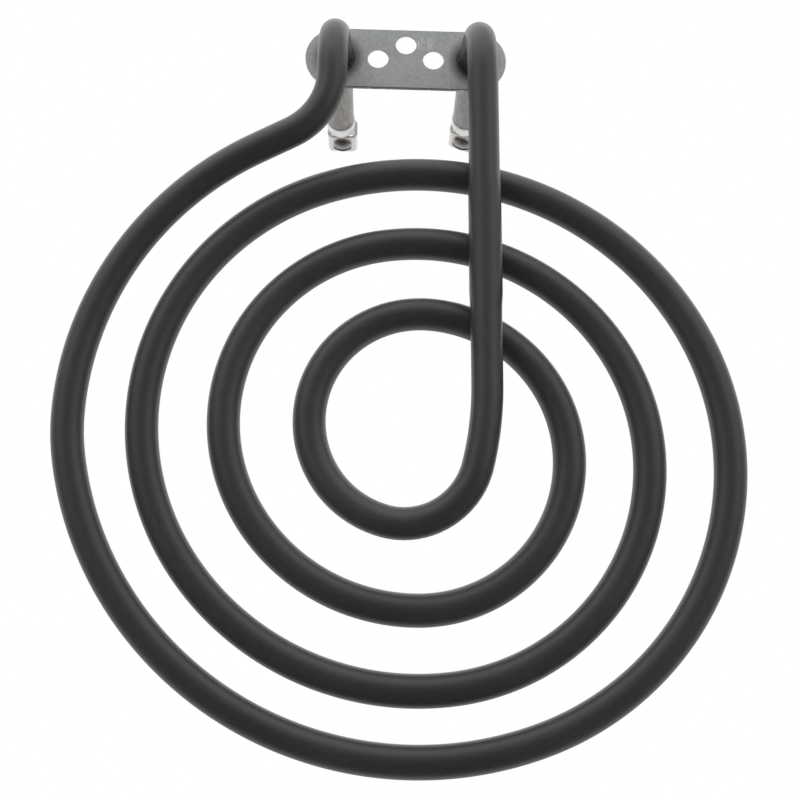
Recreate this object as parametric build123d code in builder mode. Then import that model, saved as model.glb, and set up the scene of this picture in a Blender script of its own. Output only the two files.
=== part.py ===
from build123d import *
import os
from math import asin, atan2, cos, degrees, hypot, radians, sin

# Tubular heating element: one sheathed tube wound into a flat spiral of about three and a half
# turns, with both leads bent back through a small flange plate to their screw terminals.
#
# Frame: origin at the centre of the plate's rear (sealing) face. +X right, +Z up the leads and
# +Y back along the terminals, so the spiral hangs below and in front of the plate.

# ---- driving dimensions, millimetres and degrees ----

# Sheathed tube
TUBE_DIAMETER = 8.2
TUBE_WALL = 0.8
LEAD_GAP = 0.15  # air between the crossing lead and the turns behind it

# Flange plate
PLATE_THICKNESS = 1.2
PLATE_LENGTH = 57.0
PLATE_HEIGHT = 18.0
TUBE_HOLE_SPACING = 38.6
TUBE_HOLE_CLEARANCE = 0.05
FIXING_HOLE_DIAMETER = 6.0
FIXING_HOLE_SPACING = 15.7
UPPER_HOLE_LAND = 1.5  # plate left above the raised hole
PLATE_EDGE_BREAK = 0.15
BRAZE_LEG = 0.9  # leg of the braze fillet between the plate's front and each neck

# Leads. Each corner, where the lines of the neck and the leg meet, stands a little out of line
# with its hole, so the neck leaves the plate at a slight angle.
NECK_LENGTH = 10.3  # straight tube between the plate and its bend
NECK_EASE_RADIUS = 60.0
PLATE_BEND_RADIUS = 16.0
LEFT_CORNER_OUT = 0.4  # beyond the hole's axis
LEFT_CORNER_DROP = 0.45
RIGHT_CORNER_OUT = 0.7
TAIL_LENGTHS = {"left": 40.0, "right": 36.7}  # tube behind the plate
SHOULDER_DROP = 2.5  # straight between the plate bend and the shoulder
SHOULDER_RADIUS = 18.0
SHOULDER_ANGLE = 64.5
ENTRY_RADIUS = 80.0  # the lead's easy curve into the outer turn
EXIT_RADIUS = 84.5  # the inner turn's easy curve into the crossing lead

# Spiral, from the outside in: radius and angle of each bend
SPIRAL_REACH = 104.0  # from the right leg's axis to the outer turn's left side
SPIRAL_TURNS = 3
SPIRAL_BENDS = (
    (58.5, 10.0),
    (89.5, 101.0),
    (74.5, 101.0),
    (80.0, 77.0),
    (66.5, 107.0),
    (71.0, 62.0),
    (57.5, 115.0),
    (59.5, 67.0),
    (47.5, 112.0),
    (50.0, 59.0),
    (38.5, 176.0),
)
INNER_RADIUS = 28.5  # closes the last full turn
EYE_BENDS = (
    (28.0, 74.0),
    (18.6, 93.0),
)

# Inside the tube's cold ends
PIN_DIAMETER = 2.5
PIN_TIP_CHAMFER = 0.2
PIN_COLD_LENGTH = 38.0  # pin inside the tube, from the tube's end
SEAL_LENGTH = 6.0

# Ceramic bead in each tube end
BEAD_DIAMETER = 8.7
BEAD_LENGTH = 4.5
BEAD_SPIGOT_LENGTH = 3.0
BEAD_EDGE_CHAMFER = 0.25
BEAD_CLEARANCE = 0.05

# Clamp cage and its screw
CAGE_WIDTH = 9.2
CAGE_LENGTH = 10.0
CAGE_WALL = 0.8
CAGE_DEPTH = 4.4  # underside of the cage, below the pin's axis
CAGE_CORNER_RADIUS = 1.8
CAGE_SIDE_OFFSET = 0.5
CLAMP_ROLLS = {"left": 0.0, "right": 18.0}  # about the pin, clockwise seen from the front
SCREW_DIAMETER = 4.0
SCREW_CLEARANCE = 0.05
SCREW_HEAD_DIAMETER = 5.8
SCREW_HEAD_RIM = 0.9  # straight side of the domed head
SCREW_HEAD_HEIGHT = 1.9
SCREW_SLOT_WIDTH = 1.0
SCREW_SLOT_DEPTH = 1.0
SCREW_TIP_GAP = 0.15  # between the screw's tip and the pin

# ---- worked out from them ----
FULL_TURN = 360.0
DOWN = -90.0
BORE_DIAMETER = TUBE_DIAMETER - 2 * TUBE_WALL
HOLE_X = TUBE_HOLE_SPACING / 2
UPPER_HOLE_RISE = PLATE_HEIGHT / 2 - UPPER_HOLE_LAND - FIXING_HOLE_DIAMETER / 2
LEG_Y = -(PLATE_THICKNESS + NECK_LENGTH + PLATE_BEND_RADIUS)
LEFT_CORNER = Vector(-HOLE_X - LEFT_CORNER_OUT, LEG_Y, -LEFT_CORNER_DROP)
RIGHT_CORNER = Vector(HOLE_X + RIGHT_CORNER_OUT, LEG_Y, 0)
SPIRAL_LEFT = RIGHT_CORNER.X - SPIRAL_REACH
LEAD_OFFSET = TUBE_DIAMETER + LEAD_GAP
SPIRAL_Y = LEG_Y + LEAD_OFFSET
SIDES = {"left": -HOLE_X, "right": HOLE_X}


def bend_chain(start, heading, bends):
    """Tangent bends to the left: (centre, radius, start angle, angle) of each, and the end."""
    x, z = start
    arcs = []
    for radius, angle in bends:
        centre = (x - radius * sin(radians(heading)), z + radius * cos(radians(heading)))
        arcs.append((centre, radius, heading - 90, angle))
        heading += angle
        x = centre[0] + radius * sin(radians(heading))
        z = centre[1] - radius * cos(radians(heading))
    return arcs, (x, z), heading


def lead_plane(hinge_x, leg_x):
    """Upright plane from the spiral's vertical tangent at hinge_x out to a leg's axis."""
    across = Vector(leg_x - hinge_x, LEG_Y - SPIRAL_Y, 0)
    facing = across.cross(Vector(0, 0, 1))
    return Plane(origin=(hinge_x, SPIRAL_Y, 0), x_dir=across, z_dir=facing)


# Left lead, in its own plane: down from the plate bend, round the shoulder, along a short
# straight and into the outer turn. Its plane swings back from the leg to the spiral.
left_plane = lead_plane(SPIRAL_LEFT, LEFT_CORNER.X)
left_span = hypot(LEFT_CORNER.X - SPIRAL_LEFT, LEAD_OFFSET)
shoulder = radians(SHOULDER_ANGLE)
shoulder_straight = (
    left_span - (SHOULDER_RADIUS + ENTRY_RADIUS) * (1 - cos(shoulder))
) / sin(shoulder)
shoulder_z = -PLATE_BEND_RADIUS - SHOULDER_DROP
hinge_z = (
    shoulder_z
    - (SHOULDER_RADIUS + ENTRY_RADIUS) * sin(shoulder)
    - shoulder_straight * cos(shoulder)
)
shoulder_end = (
    left_span - SHOULDER_RADIUS * (1 - cos(shoulder)),
    shoulder_z - SHOULDER_RADIUS * sin(shoulder),
)
entry_start = (
    ENTRY_RADIUS * (1 - cos(shoulder)),
    hinge_z + ENTRY_RADIUS * sin(shoulder),
)

# Spiral, in the plane of its turns. It starts and ends heading straight down.
spiral_plane = Plane(origin=(0, SPIRAL_Y, 0), x_dir=(1, 0, 0), z_dir=(0, -1, 0))
last_angle = SPIRAL_TURNS * FULL_TURN - sum(angle for radius, angle in SPIRAL_BENDS)
spiral_arcs, eye_start, _ = bend_chain(
    (SPIRAL_LEFT, hinge_z), DOWN, SPIRAL_BENDS + ((INNER_RADIUS, last_angle),)
)

# Right lead: round the eye, forward out of the spiral's plane, and up in front of the turns.
# The last bend ends where a straight leg points at the right corner.
right_plane = lead_plane(eye_start[0], RIGHT_CORNER.X)
right_span = hypot(RIGHT_CORNER.X - eye_start[0], LEAD_OFFSET)
eye_arcs, eye_end, exit_heading = bend_chain((0, eye_start[1]), DOWN, EYE_BENDS)
exit_centre = (
    eye_end[0] - EXIT_RADIUS * sin(radians(exit_heading)),
    eye_end[1] + EXIT_RADIUS * cos(radians(exit_heading)),
)
centre_to_corner = Vector(right_span - exit_centre[0], -exit_centre[1])
leg_heading = degrees(
    atan2(centre_to_corner.Y, centre_to_corner.X) + asin(EXIT_RADIUS / centre_to_corner.length)
)
exit_angle = leg_heading - exit_heading
leg_start = (
    exit_centre[0] + EXIT_RADIUS * sin(radians(leg_heading)),
    exit_centre[1] - EXIT_RADIUS * cos(radians(leg_heading)),
)

# The tube's axis, from the left tail's end to the right one's
end_radii = (NECK_EASE_RADIUS, PLATE_BEND_RADIUS)
ease_y = -PLATE_THICKNESS - 2 * BRAZE_LEG
with BuildLine() as left_end:
    FilletPolyline(
        (-HOLE_X, TAIL_LENGTHS["left"], 0),
        (-HOLE_X, ease_y, 0),
        LEFT_CORNER,
        (LEFT_CORNER.X, LEG_Y, shoulder_z),
        radius=end_radii,
    )
with BuildLine(left_plane) as left_lead:
    CenterArc((left_span - SHOULDER_RADIUS, shoulder_z), SHOULDER_RADIUS, 0, -SHOULDER_ANGLE)
    Line(shoulder_end, entry_start)
    CenterArc((ENTRY_RADIUS, hinge_z), ENTRY_RADIUS, 180 - SHOULDER_ANGLE, SHOULDER_ANGLE)
with BuildLine(spiral_plane) as spiral:
    for centre, radius, start_angle, angle in spiral_arcs:
        CenterArc(centre, radius, start_angle, angle)
with BuildLine(right_plane) as right_lead:
    for centre, radius, start_angle, angle in eye_arcs:
        CenterArc(centre, radius, start_angle, angle)
    CenterArc(exit_centre, EXIT_RADIUS, exit_heading - 90, exit_angle)
with BuildLine() as right_end:
    FilletPolyline(
        right_plane.from_local_coords(Vector(*leg_start)),
        RIGHT_CORNER,
        (HOLE_X, ease_y, 0),
        (HOLE_X, TAIL_LENGTHS["right"], 0),
        radius=reversed(end_radii),
    )
runs = (left_end, left_lead, spiral, right_lead, right_end)
tube_axis = Wire([edge for run in runs for edge in run.line.edges()])


def tail_plane(y):
    """Plane across the two tails at y, facing back along the terminals, with its x to the left."""
    return Plane(origin=(0, y, 0), x_dir=(-1, 0, 0), z_dir=(0, 1, 0))


# ---- flange plate: stamped strip with full-radius ends, two tube holes, three fixing holes ----
with BuildPart() as mounting_plate:
    with BuildSketch(Plane.XZ) as plate_outline:
        SlotOverall(PLATE_LENGTH, PLATE_HEIGHT)
        with Locations((-HOLE_X, 0), (HOLE_X, 0)):
            Circle(TUBE_DIAMETER / 2 + TUBE_HOLE_CLEARANCE, mode=Mode.SUBTRACT)
        with Locations(
            (-FIXING_HOLE_SPACING / 2, 0), (FIXING_HOLE_SPACING / 2, 0), (0, UPPER_HOLE_RISE)
        ):
            Circle(FIXING_HOLE_DIAMETER / 2, mode=Mode.SUBTRACT)
    extrude(amount=PLATE_THICKNESS)
    front_rim = mounting_plate.faces().sort_by(Axis.Y)[0].outer_wire().edges()
    chamfer(front_rim, PLATE_EDGE_BREAK)
mounting_plate.part.label = "mounting_plate"

# ---- sheath: one steel tube, solid with its compacted filling except for the bored cold ends ----
with BuildPart() as sheath:
    start_plane = Plane(
        origin=(-HOLE_X, TAIL_LENGTHS["left"], 0), x_dir=(1, 0, 0), z_dir=(0, -1, 0)
    )
    with BuildSketch(start_plane):
        Circle(TUBE_DIAMETER / 2)
    sweep(path=tube_axis)
    for side, tube_x in SIDES.items():
        with BuildSketch(tail_plane(TAIL_LENGTHS[side])):
            with Locations((-tube_x, 0)):
                Circle(BORE_DIAMETER / 2)
        extrude(amount=-PIN_COLD_LENGTH, mode=Mode.SUBTRACT)
sheath.part.label = "sheath"

pieces = [mounting_plate, sheath]

# ---- the pieces of each terminal ----
cage_top = PIN_DIAMETER / 2 + CAGE_WALL
cage_height = cage_top + CAGE_DEPTH
cage_middle = (cage_top - CAGE_DEPTH) / 2

for side, tube_x in SIDES.items():
    tail_length = TAIL_LENGTHS[side]
    pin_tip_y = tail_length - PIN_COLD_LENGTH
    filler_end_y = tail_length - BEAD_SPIGOT_LENGTH - SEAL_LENGTH
    bead_rear_y = tail_length + BEAD_LENGTH
    tail_axis = Axis((tube_x, 0, 0), (0, 1, 0))
    neck_section = Plane(
        origin=(tube_x, -PLATE_THICKNESS, 0), x_dir=(1, 0, 0), z_dir=(0, 0, -1)
    )

    # Braze fillet between the neck and the plate's front face, which leaves the rear face flat
    with BuildPart() as braze_fillet:
        with BuildSketch(neck_section):
            tube_radius = TUBE_DIAMETER / 2
            with BuildLine():
                Line((tube_radius, 0), (tube_radius + BRAZE_LEG, 0))
                RadiusArc((tube_radius + BRAZE_LEG, 0), (tube_radius, BRAZE_LEG), BRAZE_LEG)
                Line((tube_radius, BRAZE_LEG), (tube_radius, 0))
            make_face()
        revolve(axis=tail_axis)
    braze_fillet.part.label = f"braze_fillet_{side}"

    # Terminal pin: from the heated length, through the seal and bead, into the cage
    with BuildPart() as terminal_pin:
        with BuildSketch(tail_plane(pin_tip_y)):
            with Locations((-tube_x, 0)):
                Circle(PIN_DIAMETER / 2)
        extrude(amount=bead_rear_y + CAGE_LENGTH - pin_tip_y)
        chamfer(terminal_pin.edges().sort_by(Axis.Y)[-1], PIN_TIP_CHAMFER)
    terminal_pin.part.label = f"terminal_pin_{side}"

    # Compacted magnesia round the pin
    with BuildPart() as insulation_filler:
        with BuildSketch(tail_plane(pin_tip_y)):
            with Locations((-tube_x, 0)):
                Circle(BORE_DIAMETER / 2)
                Circle(PIN_DIAMETER / 2, mode=Mode.SUBTRACT)
        extrude(amount=filler_end_y - pin_tip_y)
    insulation_filler.part.label = f"insulation_filler_{side}"

    # Moisture seal, cast in the bore between the magnesia and the bead
    with BuildPart() as end_seal:
        with BuildSketch(tail_plane(filler_end_y)):
            with Locations((-tube_x, 0)):
                Circle(BORE_DIAMETER / 2)
                Circle(PIN_DIAMETER / 2, mode=Mode.SUBTRACT)
        extrude(amount=SEAL_LENGTH)
    end_seal.part.label = f"end_seal_{side}"

    # Ceramic bead: a collar on the tube's end and a spigot in its bore
    with BuildPart() as ceramic_bead:
        with BuildSketch(tail_plane(tail_length)):
            with Locations((-tube_x, 0)):
                Circle(BEAD_DIAMETER / 2)
        extrude(amount=BEAD_LENGTH)
        chamfer(ceramic_bead.edges().filter_by(GeomType.CIRCLE), BEAD_EDGE_CHAMFER)
        with BuildSketch(tail_plane(tail_length)):
            with Locations((-tube_x, 0)):
                Circle(BORE_DIAMETER / 2 - BEAD_CLEARANCE)
        extrude(amount=-BEAD_SPIGOT_LENGTH)
        with BuildSketch(tail_plane(bead_rear_y)):
            with Locations((-tube_x, 0)):
                Circle(PIN_DIAMETER / 2 + BEAD_CLEARANCE)
        extrude(amount=-BEAD_LENGTH - BEAD_SPIGOT_LENGTH, mode=Mode.SUBTRACT)
    ceramic_bead.part.label = f"ceramic_bead_{side}"

    # Clamp cage: a strip folded into a ring, welded under its top wall to the pin
    clamp_plane = Plane(
        origin=(tube_x, bead_rear_y, 0),
        x_dir=Vector(-1, 0, 0).rotate(Axis.Y, CLAMP_ROLLS[side]),
        z_dir=(0, 1, 0),
    )
    screw_foot = clamp_plane.from_local_coords(
        Vector(-CAGE_SIDE_OFFSET, -CAGE_DEPTH, CAGE_LENGTH / 2)
    )
    screw_plane = Plane(origin=screw_foot, x_dir=clamp_plane.x_dir, z_dir=-clamp_plane.y_dir)
    with BuildPart() as clamp_cage:
        with BuildSketch(clamp_plane):
            with Locations((-CAGE_SIDE_OFFSET, cage_middle)):
                RectangleRounded(CAGE_WIDTH, cage_height, CAGE_CORNER_RADIUS)
                RectangleRounded(
                    CAGE_WIDTH - 2 * CAGE_WALL,
                    cage_height - 2 * CAGE_WALL,
                    CAGE_CORNER_RADIUS - CAGE_WALL,
                    mode=Mode.SUBTRACT,
                )
        extrude(amount=CAGE_LENGTH)
        with BuildSketch(screw_plane):
            Circle(SCREW_DIAMETER / 2 + SCREW_CLEARANCE)
        extrude(amount=-CAGE_WALL, mode=Mode.SUBTRACT)
    clamp_cage.part.label = f"clamp_cage_{side}"

    # Clamp screw, driven up from below towards the pin: a slotted head with a domed top
    screw_section = Plane(origin=screw_foot, x_dir=screw_plane.x_dir, z_dir=-screw_plane.y_dir)
    shank_length = CAGE_DEPTH - PIN_DIAMETER / 2 - SCREW_TIP_GAP
    with BuildPart() as clamp_screw:
        with BuildSketch(screw_section):
            with BuildLine():
                Polyline(
                    (0, SCREW_HEAD_HEIGHT),
                    (0, -shank_length),
                    (SCREW_DIAMETER / 2, -shank_length),
                    (SCREW_DIAMETER / 2, 0),
                    (SCREW_HEAD_DIAMETER / 2, 0),
                    (SCREW_HEAD_DIAMETER / 2, SCREW_HEAD_RIM),
                )
                TangentArc(
                    (0, SCREW_HEAD_HEIGHT),
                    (SCREW_HEAD_DIAMETER / 2, SCREW_HEAD_RIM),
                    tangent=(1, 0),
                )
            make_face()
        revolve(axis=Axis(screw_foot, screw_plane.z_dir))
        with BuildSketch(screw_plane.offset(SCREW_HEAD_HEIGHT)):
            Rectangle(SCREW_HEAD_DIAMETER, SCREW_SLOT_WIDTH)
        extrude(amount=-SCREW_SLOT_DEPTH, mode=Mode.SUBTRACT)
    clamp_screw.part.label = f"clamp_screw_{side}"

    pieces += [braze_fillet, terminal_pin, insulation_filler, end_seal]
    pieces += [ceramic_bead, clamp_cage, clamp_screw]

os.makedirs("parts", exist_ok=True)
for piece in pieces:
    export_step(piece.part, f"parts/{piece.part.label}.step")

print(f"tube length {tube_axis.length:.0f} mm, shoulder straight {shoulder_straight:.1f} mm")
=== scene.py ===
"""A tubular heating element: a dark oxidised spiral tube, its steel flange plate and its terminals.

Every length here is in metres. +X is right, +Z up and +Y back along the terminals, with the origin
at the centre of the plate's rear face.
"""
import math

import bpy
from mathutils import Euler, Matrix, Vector


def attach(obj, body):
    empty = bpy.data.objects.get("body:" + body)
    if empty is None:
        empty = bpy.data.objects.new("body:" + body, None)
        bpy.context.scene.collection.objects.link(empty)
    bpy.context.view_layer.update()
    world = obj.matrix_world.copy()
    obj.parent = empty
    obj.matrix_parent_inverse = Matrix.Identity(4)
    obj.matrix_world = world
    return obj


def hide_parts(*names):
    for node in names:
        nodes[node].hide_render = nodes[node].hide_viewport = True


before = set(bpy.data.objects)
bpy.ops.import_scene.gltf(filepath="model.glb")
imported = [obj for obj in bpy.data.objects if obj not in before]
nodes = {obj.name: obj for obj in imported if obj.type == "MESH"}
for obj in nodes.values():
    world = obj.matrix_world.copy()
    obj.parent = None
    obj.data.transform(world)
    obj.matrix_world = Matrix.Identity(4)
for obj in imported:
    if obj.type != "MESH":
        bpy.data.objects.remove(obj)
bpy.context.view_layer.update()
MM = 0.001
SIDES = ("left", "right")
HOLE_X = 19.3 * MM


# ---- node helpers ----

class Nodes:
    """A material's or world's node tree, with one short call for each kind of node."""

    def __init__(self, owner):
        owner.use_nodes = True
        self.tree = owner.node_tree
        self.tree.nodes.clear()

    def add(self, kind, inputs=(), **settings):
        node = self.tree.nodes.new(kind)
        for name, value in settings.items():
            setattr(node, name, value)
        for key, value in dict(inputs).items():
            self.feed(node.inputs[key], value)
        return node

    def feed(self, socket, value):
        if isinstance(value, bpy.types.NodeSocket):
            self.tree.links.new(value, socket)
        else:
            socket.default_value = value

    def math(self, operation, first, second=0.0, clamp=False):
        node = self.add("ShaderNodeMath", {0: first, 1: second}, operation=operation)
        node.use_clamp = clamp
        return node.outputs[0]

    def ramp(self, value, low, high, out_low=0.0, out_high=1.0):
        """Smooth step of value from low to high."""
        node = self.add("ShaderNodeMapRange", {"Value": value, "From Min": low, "From Max": high},
                        interpolation_type="SMOOTHSTEP")
        node.inputs["To Min"].default_value = out_low
        node.inputs["To Max"].default_value = out_high
        return node.outputs[0]

    def mix(self, amount, first, second, blend="MIX"):
        node = self.add("ShaderNodeMix", data_type="RGBA", blend_type=blend)
        for socket, value in zip((node.inputs[0], node.inputs[6], node.inputs[7]),
                                 (amount, first, second)):
            self.feed(socket, value)
        return node.outputs[2]

    def noise(self, vector, scale, detail=3.0, roughness=0.5):
        return self.add("ShaderNodeTexNoise", {"Vector": vector, "Scale": scale, "Detail": detail,
                                               "Roughness": roughness}).outputs[0]

    def stretched(self, vector, scale):
        return self.add("ShaderNodeMapping", {"Vector": vector, "Scale": scale}).outputs[0]

    def scored(self, vector, angle, length, width):
        """Noise drawn out into lines in the XZ plane at an angle, of about this length and width."""
        turned = self.add("ShaderNodeMapping", {"Vector": vector, "Rotation": (0, angle, 0),
                                                "Scale": (length, 1, width)}, vector_type="TEXTURE")
        return self.noise(turned.outputs[0], 1.0, 2.0)

    def distance(self, across, up):
        """How far a point lies from a centre, from its offsets across and up."""
        square = self.math("ADD", self.math("MULTIPLY", across, across), self.math("MULTIPLY", up, up))
        return self.math("SQRT", square)

    def bump(self, height, strength, distance):
        return self.add("ShaderNodeBump", {"Height": height, "Strength": strength,
                                           "Distance": distance}).outputs[0]


def grey(level, warmth=0.0):
    """A linear grey, warmer or cooler by a small share."""
    return (level * (1 + warmth), level, level * (1 - warmth), 1)


def surface(name):
    """A new material with a principled surface: its nodes, its shader and its object coordinates."""
    material = bpy.data.materials.new(name)
    tree = Nodes(material)
    shader = tree.add("ShaderNodeBsdfPrincipled")
    output = tree.add("ShaderNodeOutputMaterial")
    tree.feed(output.inputs[0], shader.outputs[0])
    place = tree.add("ShaderNodeTexCoord").outputs["Object"]
    return material, tree, shader, place


# ---- materials ----
NECK_TINT_AND_PAINTED_SHADE = (0.0046, 0.0085)  # from a tube hole's centre: the darkest part and the end of the heat tint and painted contact shade
LEAD_OXIDE_Z = (-0.075, -0.005)  # where the leads' browner oxide begins and where it is full
BARE_Y = (-0.0006, 0.0006)  # the oxide ends within the plate's thickness
SCRATCH_SPOT = (0.0052, 0.0045)
SCRATCH_REACH = (0.001, 0.0032)  # from the spot's centre: full strength and none
SCRATCH_ANGLES = (1.35, 0.75)
SCRATCH_LENGTH = 0.009
SCRATCH_WIDTH = 0.0002
RIM_Z = (0.00872, 0.00892)  # the plate's straight edges, above and below its middle


def oxidised_tube():
    """Dark satin oxide with faint drawn streaks and brown patches; bare metal behind the plate."""
    material, tree, shader, place = surface("oxidised_tube")
    x, y, z = tree.add("ShaderNodeSeparateXYZ", {0: place}).outputs
    along = tree.add("ShaderNodeUVMap", uv_map="along").outputs[0]

    patches = tree.ramp(tree.noise(place, 38.0, 4.0, 0.6), 0.45, 0.70)
    base = tree.mix(patches, grey(0.020, -0.03), grey(0.024, 0.10))
    streaks = tree.noise(tree.stretched(along, (30.0, 260.0, 1.0)), 1.0, 4.0, 0.6)
    base = tree.mix(tree.ramp(streaks, 0.40, 0.75, 0.0, 0.7), base, grey(0.040, 0.0))
    # The cooler leads keep a browner, paler oxide
    top = tree.ramp(z, *LEAD_OXIDE_Z)
    base = tree.mix(tree.math("MULTIPLY", top, 0.8), base, grey(0.021, 0.14))

    fine_lines = tree.noise(tree.stretched(along, (70.0, 900.0, 1.0)), 1.0, 2.0)
    base = tree.mix(tree.ramp(fine_lines, 0.62, 0.76, 0.0, 0.5), base, grey(0.085))
    speck = tree.noise(tree.stretched(along, (900.0, 1200.0, 1.0)), 1.0, 1.0)
    base = tree.mix(tree.ramp(speck, 0.72, 0.79, 0.0, 0.6), base, grey(0.16))

    bare = tree.ramp(y, *BARE_Y)
    scratch = tree.noise(tree.stretched(along, (16.0, 34.0, 1.0)), 1.0, 5.0, 0.6)
    steel = tree.mix(tree.ramp(scratch, 0.30, 0.72), grey(0.155, 0.06), grey(0.245, 0.05))
    flecks = tree.noise(tree.stretched(along, (14.0, 15.0, 1.0)), 1.0, 4.0, 0.6)
    steel = tree.mix(tree.ramp(flecks, 0.58, 0.72, 0.0, 0.5), steel, grey(0.42, 0.03))
    tree.feed(shader.inputs["Base Color"], tree.mix(bare, base, steel))
    tree.feed(shader.inputs["Metallic"], tree.math("MULTIPLY", bare, 0.7))
    tree.feed(shader.inputs["Roughness"], tree.ramp(streaks, 0.3, 0.7, 0.36, 0.46))
    tree.feed(shader.inputs["Normal"], tree.bump(streaks, 0.2, 0.0001))
    return material


def plate_steel():
    """Dull zinc-grey sheet: fine grain, heat tint and painted contact shade round the necks, scratches, and
    a sheared edge painted dark as shade with painted glints on its burrs.
    """
    material, tree, shader, place = surface("plate_steel")
    x, y, z = tree.add("ShaderNodeSeparateXYZ", {0: place}).outputs
    grain = tree.noise(place, 1100.0, 4.0, 0.7)
    base = tree.mix(tree.ramp(grain, 0.3, 0.7), grey(0.31, -0.03), grey(0.41, -0.02))
    cloud = tree.noise(place, 120.0, 3.0)
    base = tree.mix(tree.ramp(cloud, 0.40, 0.70, 0.0, 0.35), base, grey(0.46, -0.02))

    # Heat tint and painted contact shade darken the sheet round each neck
    from_neck = tree.math("SUBTRACT", tree.math("ABSOLUTE", x), HOLE_X)
    tint_and_painted_shade = tree.ramp(tree.distance(from_neck, z), *NECK_TINT_AND_PAINTED_SHADE, 0.85, 0.0)
    base = tree.mix(tint_and_painted_shade, base, grey(0.045, -0.08))

    # Two sets of slanted scratches, in one spot between the raised hole and the right one
    dx = tree.math("SUBTRACT", x, SCRATCH_SPOT[0])
    dz = tree.math("SUBTRACT", z, SCRATCH_SPOT[1])
    spot = tree.ramp(tree.distance(dx, dz), *SCRATCH_REACH, 1.0, 0.0)
    for angle in SCRATCH_ANGLES:
        line = tree.ramp(tree.scored(place, angle, SCRATCH_LENGTH, SCRATCH_WIDTH), 0.60, 0.66)
        base = tree.mix(tree.math("MULTIPLY", line, spot), base, grey(0.85))

    # The sheared edge is painted dark as shade, with painted glints where its burrs catch the light
    rim = tree.ramp(tree.math("ABSOLUTE", z), *RIM_Z)
    painted_burr_glint = tree.ramp(tree.noise(tree.stretched(place, (520.0, 900.0, 300.0)), 1.0, 3.0), 0.61, 0.66)
    base = tree.mix(rim, base, tree.mix(painted_burr_glint, grey(0.12), grey(0.60)))
    tree.feed(shader.inputs["Base Color"], base)
    shader.inputs["Metallic"].default_value = 0.55
    tree.feed(shader.inputs["Roughness"], tree.ramp(grain, 0.3, 0.7, 0.44, 0.58))
    tree.feed(shader.inputs["Normal"], tree.bump(grain, 0.25, 0.00005))
    return material


def braze_metal():
    """Braze darkened by heat, and darker still as painted shade round the necks."""
    material, tree, shader, place = surface("braze_metal")
    lumps = tree.noise(place, 700.0, 3.0)
    base = tree.mix(tree.ramp(lumps, 0.35, 0.7), grey(0.018, 0.03), grey(0.045, 0.08))
    tree.feed(shader.inputs["Base Color"], base)
    shader.inputs["Metallic"].default_value = 0.3
    shader.inputs["Roughness"].default_value = 0.65
    tree.feed(shader.inputs["Normal"], tree.bump(lumps, 0.6, 0.0002))
    return material


def nickel(name, level):
    """Nickel-plated steel, a little dull, with rubbed marks."""
    material, tree, shader, place = surface(name)
    rubbed = tree.noise(tree.stretched(place, (300.0, 90.0, 300.0)), 1.0, 4.0, 0.6)
    base = tree.mix(tree.ramp(rubbed, 0.35, 0.7), grey(level * 0.85, 0.04), grey(level, 0.02))
    tree.feed(shader.inputs["Base Color"], base)
    shader.inputs["Metallic"].default_value = 0.9
    tree.feed(shader.inputs["Roughness"], tree.ramp(rubbed, 0.3, 0.7, 0.22, 0.36))
    return material


def fired_ceramic(name, level):
    """Unglazed white ceramic with a fine grain."""
    material, tree, shader, place = surface(name)
    grain = tree.noise(place, 1500.0, 3.0)
    base = tree.mix(tree.ramp(grain, 0.3, 0.7), grey(level * 0.93, 0.015), grey(level, 0.01))
    tree.feed(shader.inputs["Base Color"], base)
    shader.inputs["Roughness"].default_value = 0.5
    tree.feed(shader.inputs["Normal"], tree.bump(grain, 0.1, 0.00005))
    return material


def seal_resin():
    """Red-brown sealing resin."""
    material, tree, shader, place = surface("seal_resin")
    grain = tree.noise(place, 800.0, 3.0)
    tree.feed(shader.inputs["Base Color"],
              tree.mix(grain, (0.16, 0.045, 0.03, 1), (0.25, 0.08, 0.05, 1)))
    shader.inputs["Roughness"].default_value = 0.5
    return material


# ---- the sheath's route, as the part's own drawing gives it ----
LEG_Y = -27.5 * MM
SPIRAL_Y = -19.15 * MM
TAIL_END_Y = {"left": 40.0 * MM, "right": 36.7 * MM}
EASE_Y = -3.0 * MM
EASE_RADIUS = 60.0 * MM
LEFT_CORNER = Vector((-19.7, -27.5, -0.45)) * MM
RIGHT_CORNER = Vector((20.0, -27.5, 0)) * MM
PLATE_BEND_RADIUS = 16.0 * MM
SHOULDER_Z = -18.5 * MM
SHOULDER_RADIUS = 18.0 * MM
SHOULDER_ANGLE = math.radians(64.5)
ENTRY_RADIUS = 80.0 * MM
EXIT_RADIUS = 84.5 * MM
SPIRAL_LEFT = -84.0 * MM
SPIRAL_TURNS = 3
# Radius in millimetres and angle in degrees of each bend, from the outside in. These are fitted to
# the turns' traced centre line and rounded, not worked out from a pitch.
SPIRAL_BENDS = (
    (58.5, 10), (89.5, 101), (74.5, 101), (80.0, 77), (66.5, 107), (71.0, 62),
    (57.5, 115), (59.5, 67), (47.5, 112), (50.0, 59), (38.5, 176),
)
INNER_RADIUS = 28.5  # of the bend that closes the last full turn
EYE_BENDS = ((28.0, 74), (18.6, 93))


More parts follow.
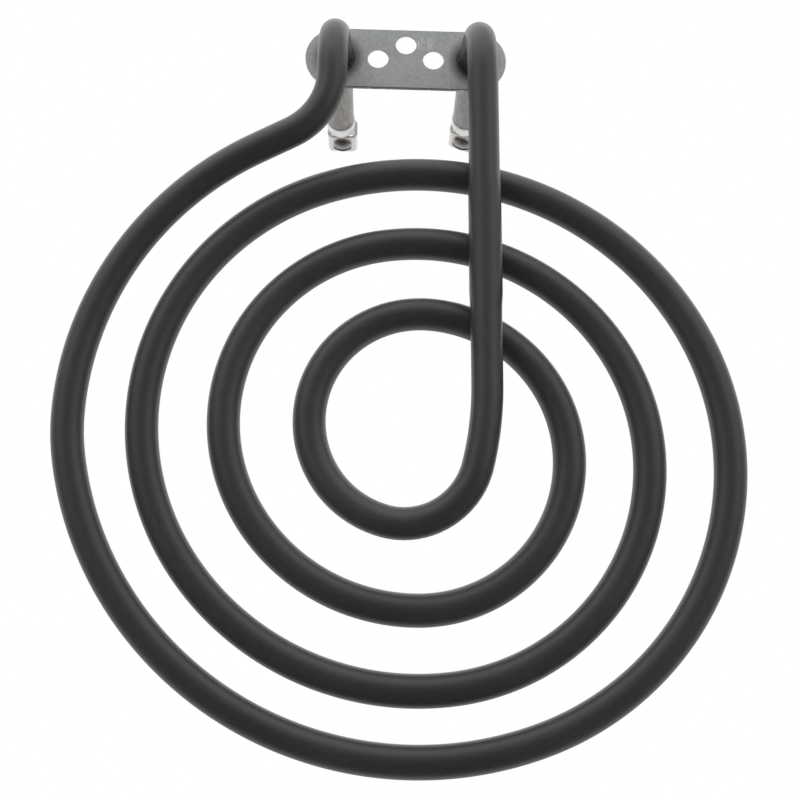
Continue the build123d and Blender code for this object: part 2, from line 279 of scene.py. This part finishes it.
class Route:
    """A line of runs and tangent bends in 3-D, read back as evenly spaced points."""

    def __init__(self, start, heading):
        self.place = Vector(start)
        self.heading = Vector(heading).normalized()
        self.pieces = []
        self.length = 0.0

    def run(self, length):
        start, heading = self.place.copy(), self.heading.copy()
        self.pieces.append((length, lambda s: (start + heading * s, heading)))
        self.place = start + heading * length
        self.length += length

    def bend(self, radius, angle, toward):
        """Turns by angle, in radians, with the bend's centre on the side that toward points to."""
        start, heading = self.place.copy(), self.heading.copy()
        inward = (toward - heading * toward.dot(heading)).normalized()

        def at(s):
            turn = s / radius
            place = start + heading * radius * math.sin(turn) + inward * radius * (1 - math.cos(turn))
            return place, heading * math.cos(turn) + inward * math.sin(turn)

        self.pieces.append((radius * angle, at))
        self.place, self.heading = at(radius * angle)
        self.length += radius * angle

    def round_corner(self, corner, radius, beyond):
        """Runs to a corner and bends round it, to head for the point beyond."""
        onward = (beyond - corner).normalized()
        angle = self.heading.angle(onward)
        self.run((corner - self.place).length - radius * math.tan(angle / 2))
        self.bend(radius, angle, onward)

    def points(self, spacing):
        """(distance, place, heading) about every spacing, with each piece's own ends among them."""
        distance = 0.0
        for length, at in self.pieces:
            steps = max(1, round(length / spacing))
            for step in range(steps):
                place, heading = at(length * step / steps)
                yield distance + length * step / steps, place, heading
            distance += length
        yield distance, self.place, self.heading


def left_of(heading):
    """The side a spiral bend turns to, seen from the front."""
    return Vector((0, -1, 0)).cross(heading)


def sheath_route():
    """The tube's axis from the left cold end, round the spiral, to the right cold end."""
    across_left = Vector((LEFT_CORNER.x - SPIRAL_LEFT, LEG_Y - SPIRAL_Y, 0))
    span = across_left.length
    straight = ((span - (SHOULDER_RADIUS + ENTRY_RADIUS) * (1 - math.cos(SHOULDER_ANGLE)))
                / math.sin(SHOULDER_ANGLE))
    route = Route((-HOLE_X, TAIL_END_Y["left"], 0), (0, -1, 0))
    route.round_corner(Vector((-HOLE_X, EASE_Y, 0)), EASE_RADIUS, LEFT_CORNER)
    route.round_corner(LEFT_CORNER, PLATE_BEND_RADIUS, LEFT_CORNER + Vector((0, 0, -1)))
    route.run(route.place.z - SHOULDER_Z)
    route.bend(SHOULDER_RADIUS, SHOULDER_ANGLE, -across_left)
    route.run(straight)
    route.bend(ENTRY_RADIUS, SHOULDER_ANGLE, across_left)
    bends = SPIRAL_BENDS + ((INNER_RADIUS, SPIRAL_TURNS * 360 - sum(a for r, a in SPIRAL_BENDS)),)
    for radius, angle in bends:
        route.bend(radius * MM, math.radians(angle), left_of(route.heading))

    # The right lead leaves the spiral's plane about its own vertical tangent
    across = Vector((RIGHT_CORNER.x - route.place.x, LEG_Y - route.place.y, 0)).normalized()
    facing = across.cross(Vector((0, 0, 1)))
    for radius, angle in EYE_BENDS:
        route.bend(radius * MM, math.radians(angle), facing.cross(route.heading))
    # The last bend ends where the straight leg points at the corner over the plate's hole
    inward = facing.cross(route.heading)
    reach = RIGHT_CORNER - (route.place + inward * EXIT_RADIUS)
    swing = math.atan2(reach.dot(route.heading), -reach.dot(inward))
    route.bend(EXIT_RADIUS, swing - math.acos(EXIT_RADIUS / reach.length), inward)
    hole = Vector((HOLE_X, EASE_Y, 0))
    route.round_corner(RIGHT_CORNER, PLATE_BEND_RADIUS, hole)
    route.round_corner(hole, EASE_RADIUS, hole + Vector((0, 1, 0)))
    route.run(TAIL_END_Y["right"] - route.place.y)
    return route


# ---- the sheath's section along its route ----
ROUND_RADIUS = 4.05 * MM
BORE_RADIUS = 3.3 * MM
BORE_LIP = 0.15 * MM  # the bevel at the bore's mouth
BORE_DEPTH = 4.0 * MM
SECTION_SIDES = 48
RING_SPACING = 1.6 * MM
COIL_WIDE = 1.045  # the wound turns are pressed a little flat
COIL_THICK = 0.99
COIL_FADE_IN = (0.13, 0.19)  # along the tube, from its left end
COIL_FADE_OUT = (0.24, 0.17)  # along the tube, before its right end
STAMP_Z = (-78.0 * MM, -50.0 * MM)  # flattened stretch of the crossing lead
STAMP_FADE = 5.0 * MM
STAMP_FADE_Y = (-20.0 * MM, -15.0 * MM)
RIGHT_LEAD_LENGTH = 0.2  # the stamp lies within this much of the right end
STAMP_WIDE = 1.065
STAMP_FLAT = 0.87  # front of the flattened stretch, as a share of the radius
ALONG_SCALE = 10.0  # the along map's units in each metre of tube


def smooth(value, low, high):
    """Smooth step of value from low to high."""
    share = min(1.0, max(0.0, (value - low) / (high - low)))
    return share * share * (3 - 2 * share)


def section(distance, total, place):
    """Half width, half thickness and front flat of the sheath's section."""
    out_low, out_high = (total - before for before in COIL_FADE_OUT)
    coil = smooth(distance, *COIL_FADE_IN) * (1 - smooth(distance, out_low, out_high))
    wide = 1 + (COIL_WIDE - 1) * coil
    thick = 1 + (COIL_THICK - 1) * coil
    flat = 1.0
    if distance > total - RIGHT_LEAD_LENGTH:
        low, high = STAMP_Z
        stamp = smooth(place.z, low - STAMP_FADE, low) * (1 - smooth(place.z, high, high + STAMP_FADE))
        stamp *= 1 - smooth(place.y, *STAMP_FADE_Y)
        wide += (STAMP_WIDE - 1) * stamp
        flat = 1 + (STAMP_FLAT - 1) * stamp
    return ROUND_RADIUS * wide, ROUND_RADIUS * thick, flat


def sheath_mesh(route):
    """Rings of the section along the route, open at both ends."""
    vertices, faces, marks = [], [], []
    side_way = Vector((-1, 0, 0))
    last_heading = Vector((0, -1, 0))
    for distance, place, heading in route.points(RING_SPACING):
        side_way = last_heading.rotation_difference(heading) @ side_way
        side_way = (side_way - heading * side_way.dot(heading)).normalized()
        last_heading = heading.copy()
        front_way = heading.cross(side_way)
        wide, thick, flat = section(distance, route.length, place)
        for side in range(SECTION_SIDES):
            angle = 2 * math.pi * side / SECTION_SIDES
            front = min(math.cos(angle), flat)
            vertices.append(place + side_way * wide * math.sin(angle) + front_way * thick * front)
            marks.append((distance, side / SECTION_SIDES))
    rings = len(vertices) // SECTION_SIDES
    for ring in range(rings - 1):
        for side in range(SECTION_SIDES):
            after = (side + 1) % SECTION_SIDES
            here, there = ring * SECTION_SIDES, (ring + 1) * SECTION_SIDES
            faces.append((here + side, here + after, there + after, there + side))
    return vertices, faces, marks


def turn_in(vertices, faces, marks, first, centre):
    """Closes one end: from the ring that starts at first, over the bore's lip and down inside it."""
    inward = Vector((0, -1, 0))
    rim = list(range(first, first + SECTION_SIDES))
    for radius, depth in ((BORE_RADIUS + BORE_LIP, 0.0), (BORE_RADIUS, BORE_LIP), (BORE_RADIUS, BORE_DEPTH)):
        start = len(vertices)
        for side in range(SECTION_SIDES):
            out = vertices[first + side] - centre
            vertices.append(centre + out.normalized() * radius + inward * depth)
            marks.append(marks[first + side])
        inner = list(range(start, start + SECTION_SIDES))
        for side in range(SECTION_SIDES):
            after = (side + 1) % SECTION_SIDES
            quad = (rim[side], inner[side], inner[after], rim[after])
            faces.append(quad if first == 0 else quad[::-1])
        rim = inner
    faces.append(tuple(rim) if first == 0 else tuple(reversed(rim)))


def map_along(mesh, marks):
    """Shades the mesh smooth and maps it by the distance along the tube and the turn round it."""
    layer = mesh.uv_layers.new(name="along")
    for face in mesh.polygons:
        corners = [marks[mesh.loops[i].vertex_index] for i in face.loop_indices]
        seam = max(c[1] for c in corners) > 0.9 and min(c[1] for c in corners) < 0.1
        for index, (distance, share) in zip(face.loop_indices, corners):
            turn = share + 1 if seam and share < 0.5 else share
            layer.data[index].uv = (distance * ALONG_SCALE, turn)
        face.use_smooth = True
    mesh.update()


def add_object(name, data):
    """A new object in the scene."""
    thing = bpy.data.objects.new(name, data)
    bpy.context.scene.collection.objects.link(thing)
    return thing


def build_sheath():
    """The tube's skin, in place of its plain solid."""
    vertices, faces, marks = sheath_mesh(sheath_route())
    last_ring = len(vertices) - SECTION_SIDES
    turn_in(vertices, faces, marks, 0, Vector((-HOLE_X, TAIL_END_Y["left"], 0)))
    turn_in(vertices, faces, marks, last_ring, Vector((HOLE_X, TAIL_END_Y["right"], 0)))
    mesh = bpy.data.meshes.new("sheath_skin")
    mesh.from_pydata([tuple(v) for v in vertices], [], faces)
    map_along(mesh, marks)
    piece = add_object("sheath_skin", mesh)
    mesh.materials.append(oxidised_tube())
    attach(piece, "root")
    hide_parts("sheath")


def dress(name, material):
    """Gives a carried-over node its material."""
    materials = nodes[name].data.materials
    materials.clear()
    materials.append(material)


# ---- camera, light, floor ----
CAMERA_PLACE = Vector((-3.12, -409.87, -207.55)) * MM
CAMERA_TURN = tuple(math.radians(a) for a in (104.723, -1.324, -0.880))
CAMERA_LENS = 70.96
CAMERA_SENSOR = 36.0
CAMERA_CLIP = (0.01, 20.0)
FLOOR_Z = -0.24
FLOOR_HALF = 3.0
# Strengths of the room that lights the element
WALL_BEHIND = 1.0
CEILING = 0.84
LEFT_WALL = 0.22
RIGHT_WALL = 0.29
LIGHT_TARGET = Vector((0, 0, -0.1))
# Name, place, size and power in watts of each light
LIGHTS = (
    ("overhead", (-0.1, -0.35, 0.75), (1.3, 0.9), 3.5),
    ("soft_left", (-0.64, -0.59, 0.20), (0.6, 0.8), 0.9),
    ("soft_right", (0.64, -0.59, 0.20), (0.6, 0.8), 1.15),
)


def build_camera():
    data = bpy.data.cameras.new("camera")
    data.lens, data.sensor_width = CAMERA_LENS, CAMERA_SENSOR
    data.clip_start, data.clip_end = CAMERA_CLIP
    camera = add_object("camera", data)
    camera.location = CAMERA_PLACE
    camera.rotation_euler = Euler(CAMERA_TURN, "XYZ")
    bpy.context.scene.camera = camera


def area_light(name, place, size, power):
    data = bpy.data.lights.new(name, "AREA")
    data.shape = "RECTANGLE"
    data.size, data.size_y = size
    data.energy = power
    light = add_object(name, data)
    light.location = place
    light.rotation_euler = (LIGHT_TARGET - Vector(place)).to_track_quat("-Z", "Y").to_euler()


def build_world():
    """White to the camera and to clear rays; a room that is bright behind and above otherwise."""
    world = bpy.data.worlds.new("studio")
    bpy.context.scene.world = world
    tree = Nodes(world)
    rays = tree.add("ShaderNodeLightPath").outputs
    toward = tree.add("ShaderNodeTexCoord").outputs["Generated"]
    x, y, z = tree.add("ShaderNodeSeparateXYZ", {0: toward}).outputs
    leftward = tree.math("MULTIPLY", x, -1.0)
    room = tree.ramp(y, -0.15, 0.55, 0.0, WALL_BEHIND)
    for part in (tree.ramp(z, 0.0, 0.9, 0.0, CEILING), tree.ramp(leftward, 0.2, 0.9, 0.0, LEFT_WALL),
                 tree.ramp(x, 0.2, 0.9, 0.0, RIGHT_WALL)):
        room = tree.math("ADD", room, part)
    direct = tree.math("MAXIMUM", rays["Is Camera Ray"], rays["Is Transmission Ray"])
    shown = tree.add("ShaderNodeMix", {0: direct, 2: room, 3: 1.0}).outputs[0]
    shader = tree.add("ShaderNodeBackground", {"Color": grey(1.0), "Strength": shown})
    output = tree.add("ShaderNodeOutputWorld")
    tree.feed(output.inputs[0], shader.outputs[0])


def build_floor():
    mesh = bpy.data.meshes.new("floor")
    corners = ((-1, -1), (1, -1), (1, 1), (-1, 1))
    mesh.from_pydata([(x * FLOOR_HALF, y * FLOOR_HALF, FLOOR_Z) for x, y in corners], [], [(0, 1, 2, 3)])
    floor = add_object("floor", mesh)
    material, tree, shader, place = surface("floor")
    shader.inputs["Base Color"].default_value = grey(0.8)
    shader.inputs["Roughness"].default_value = 0.9
    mesh.materials.append(material)
    floor.visible_glossy = False


build_sheath()
dress("mounting_plate", plate_steel())
finishes = {
    "braze_fillet": braze_metal(),
    "clamp_cage": nickel("nickel_plate", 0.62),
    "clamp_screw": nickel("screw_steel", 0.30),
    "terminal_pin": nickel("pin_steel", 0.5),
    "ceramic_bead": fired_ceramic("white_ceramic", 0.74),
    "insulation_filler": fired_ceramic("magnesia", 0.7),
    "end_seal": seal_resin(),
}
for side in SIDES:
    for piece, finish in finishes.items():
        dress(f"{piece}_{side}", finish)

build_camera()
build_world()
build_floor()
for light in LIGHTS:
    area_light(*light)
bpy.context.scene.view_settings.view_transform = "Standard"
